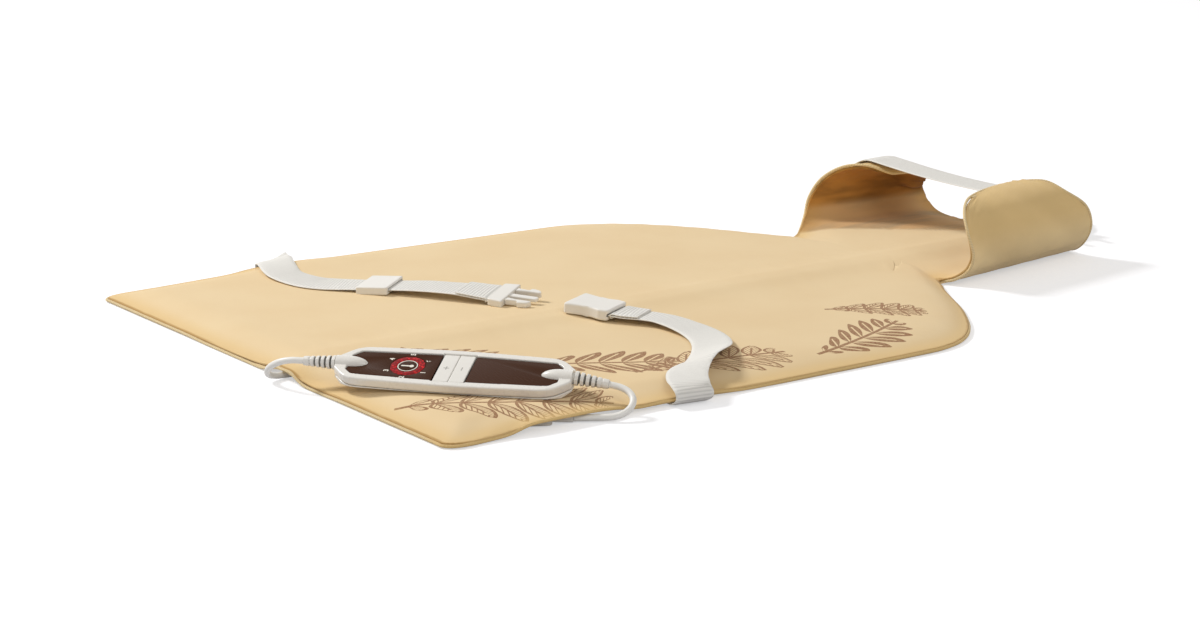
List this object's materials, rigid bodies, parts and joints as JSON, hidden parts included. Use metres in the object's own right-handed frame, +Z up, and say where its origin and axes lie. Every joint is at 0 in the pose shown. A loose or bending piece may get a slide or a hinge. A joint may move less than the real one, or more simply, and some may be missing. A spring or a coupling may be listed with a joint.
{
  "type": "heating pad with controller",
  "caption": "Fleece heating pad for back and neck with curled collar wings, waist belt halves, slim hand controller on its cords and a put-away mains lead.",
  "frame": {"origin": "on the pad's underside, below the middle of the pad", "axes": "+Z up through the pad, +Y from the hem to the collar, +X to the side with the pad's lead"},
  "size_m": [0.4499, 0.7062, 0.0572],
  "materials": {
    "cream_fleece": "fleece",
    "ochre_cloth": "woven",
    "felt": "felt",
    "wadding": "wadding",
    "wire_sleeve": "matte",
    "white_webbing": "ribbed webbing",
    "white_plastic": "satin",
    "brown_panel": "gloss",
    "red_light": "satin",
    "board": "matte",
    "dark_plastic": "matte",
    "metal": "brushed",
    "cord_sheath": "satin"
  },
  "bodies": {
    "pad": {"front_cover": "cream_fleece", "back_cover": "ochre_cloth", "heater_carrier": "felt", "padding_layer": "wadding", "heating_wire": "wire_sleeve", "belt_webbing_far": "white_webbing", "belt_webbing_near": "white_webbing", "collar_strap": "white_webbing", "loop_patch": "white_webbing", "hook_patch": "white_webbing", "coil_tie": "white_webbing", "upper_housing": "white_plastic", "lower_housing": "white_plastic", "buckle_male_body": "white_plastic", "buckle_female_body": "white_plastic", "mains_relief": "white_plastic", "lead_relief": "white_plastic", "lead_plug": "white_plastic", "mains_plug": "white_plastic", "led_1": "white_plastic", "led_2": "white_plastic", "led_3": "white_plastic", "led_4": "white_plastic", "led_5": "white_plastic", "led_6": "white_plastic", "display_panel": "brown_panel", "blank_panel": "brown_panel", "light_ring": "red_light", "film_capacitor": "red_light", "circuit_board": "board", "overheat_cutout_upper": "dark_plastic", "overheat_cutout_lower": "dark_plastic", "key_switch_plus": "dark_plastic", "key_switch_minus": "dark_plastic", "power_triac": "dark_plastic", "cord_clamp_mains": "dark_plastic", "cord_clamp_pad": "dark_plastic", "pad_socket": "dark_plastic", "board_fuse": "metal", "socket_pin_a": "metal", "socket_pin_b": "metal", "plug_pin_a": "metal", "plug_pin_b": "metal", "housing_screw_1": "metal", "housing_screw_2": "metal", "housing_screw_3": "metal", "housing_screw_4": "metal", "mains_cord": "cord_sheath", "mains_cord_coil": "cord_sheath", "mains_cord_tail": "cord_sheath", "pad_lead": "cord_sheath"},
    "key_plus": {"key_plus": "white_plastic"},
    "key_minus": {"key_minus": "white_plastic"},
    "buckle_arm_left": {"buckle_arm_left": "white_plastic"},
    "buckle_arm_right": {"buckle_arm_right": "white_plastic"},
    "belt_keeper": {"belt_keeper": "white_plastic"}
  },
  "joints": [
    {"name": "key_plus_press", "type": "slide", "parent": "pad", "child": "key_plus", "axis": [-0.1779, 0.2061, -0.9622], "range_m": [0, 0.0007], "stiffness_N_per_m": 400},
    {"name": "key_minus_press", "type": "slide", "parent": "pad", "child": "key_minus", "axis": [-0.1779, 0.2061, -0.9622], "range_m": [0, 0.0007], "stiffness_N_per_m": 400},
    {"name": "buckle_arm_left_squeeze", "type": "hinge", "parent": "pad", "child": "buckle_arm_left", "pos_m": [-0.02271, -0.10658, 0.01435], "axis": [0.0988, -0.1029, 0.9898], "range_deg": [-4, 0], "stiffness_Nm_per_rad": 0.5},
    {"name": "buckle_arm_right_squeeze", "type": "hinge", "parent": "pad", "child": "buckle_arm_right", "pos_m": [-0.01392, -0.1214, 0.01193], "axis": [0.0988, -0.1029, 0.9898], "range_deg": [0, 4], "stiffness_Nm_per_rad": 0.5},
    {"name": "keeper_slide", "type": "slide", "parent": "pad", "child": "belt_keeper", "axis": [0.7936, 0.606, 0.0548], "range_m": [-0.004, 0.01]}
  ]
}
